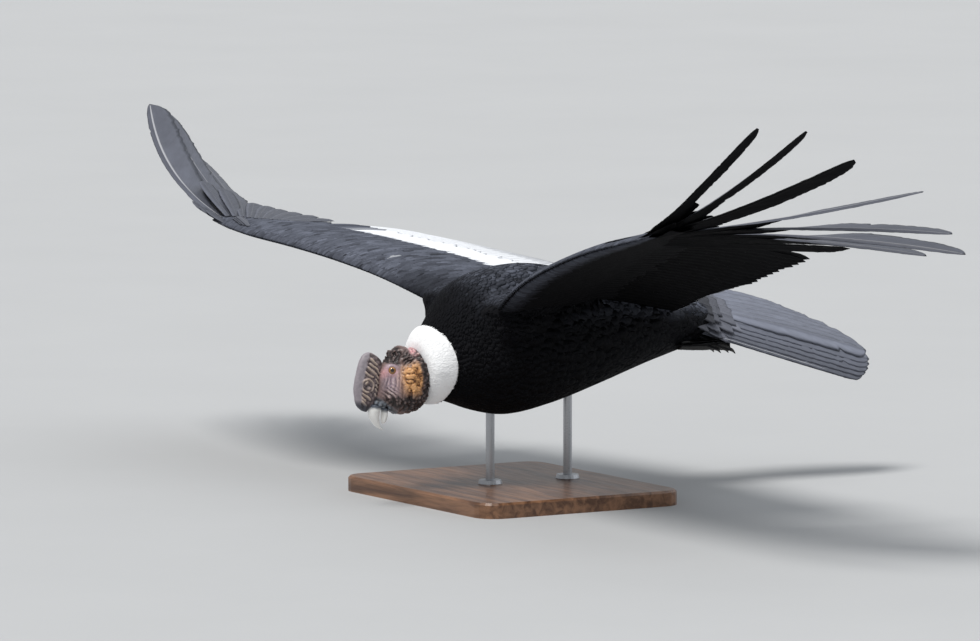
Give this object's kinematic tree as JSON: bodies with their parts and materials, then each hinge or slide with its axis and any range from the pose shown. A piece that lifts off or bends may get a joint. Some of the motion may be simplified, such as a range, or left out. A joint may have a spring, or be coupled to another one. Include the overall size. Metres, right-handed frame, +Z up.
{
  "type": "andean condor",
  "caption": "Life-size still model of an adult male Andean condor in level flight, wings spread with fingered tips, head bent down, white ruff, held over a flat display board by short rods",
  "frame": {"origin": "Middle of the underside of the stand's board, on the floor", "axes": "+Z up, the bird flies towards -Y, its left wing reaches out along +X"},
  "size_m": [2.6628, 1.108, 0.7731],
  "materials": {
    "black_plumage": "satin",
    "flight_feathers": "satin",
    "white_down": "matte",
    "neck_skin": "satin",
    "head_skin": "satin",
    "comb_skin": "satin",
    "bill_horn": "gloss",
    "eye": "gloss",
    "foot_skin": "matte",
    "claw_horn": "gloss",
    "stand_wood": "satin",
    "stand_steel": "satin"
  },
  "bodies": {
    "root": {"torso": "black_plumage", "neck": "neck_skin", "ruff": "white_down", "head": "head_skin", "bill_upper": "bill_horn", "bill_lower": "bill_horn", "comb": "comb_skin", "eye_left": "eye", "eye_right": "eye", "wing_left_arm": "flight_feathers", "wing_left_hand": "flight_feathers", "wing_right_arm": "flight_feathers", "wing_right_hand": "flight_feathers", "tail": "flight_feathers", "leg_left": "foot_skin", "leg_right": "foot_skin", "claw_left_1": "claw_horn", "claw_left_2": "claw_horn", "claw_left_3": "claw_horn", "claw_right_1": "claw_horn", "claw_right_2": "claw_horn", "claw_right_3": "claw_horn", "stand_board": "stand_wood", "stand_rod_front": "stand_steel", "stand_rod_rear": "stand_steel"}
  },
  "joints": []
}
